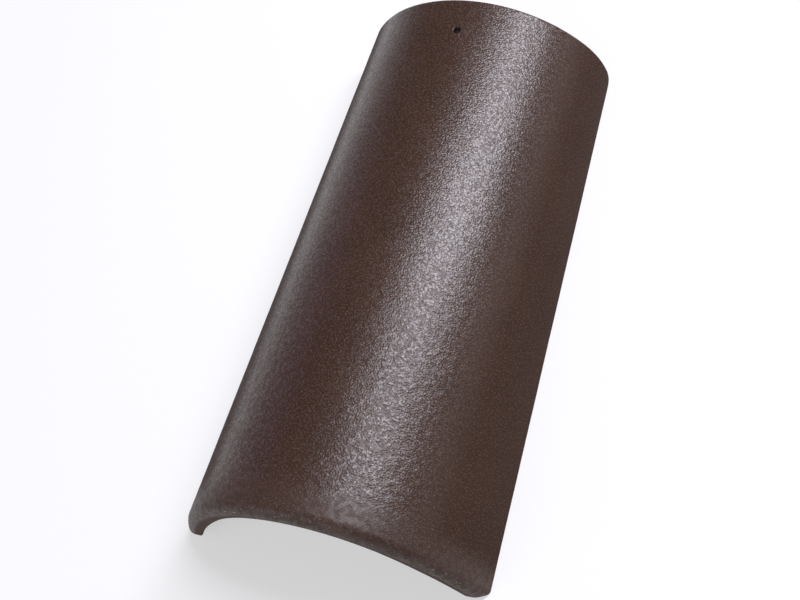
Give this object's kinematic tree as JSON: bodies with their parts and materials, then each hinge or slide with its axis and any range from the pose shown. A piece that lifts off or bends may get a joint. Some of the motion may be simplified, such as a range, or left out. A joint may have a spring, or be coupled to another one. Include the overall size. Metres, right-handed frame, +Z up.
{
  "type": "ridge tile",
  "caption": "Tapered half-round concrete ridge tile with a rounded nose at the wide end and a nail hole near the narrow end.",
  "frame": {"origin": "on the ground under the middle of the tile: X = 0 is its plane of symmetry, Y = 0 is halfway along, Z = 0 is the underside of its feet", "axes": "+X across the ridge, +Y along the ridge from the wide nosed end to the narrow nailed end, +Z up out of the crown"},
  "size_m": [0.2452, 0.45, 0.1062],
  "materials": {
    "coated_concrete": "semi-gloss"
  },
  "bodies": {
    "root": {"ridge_tile": "coated_concrete"}
  },
  "joints": []
}
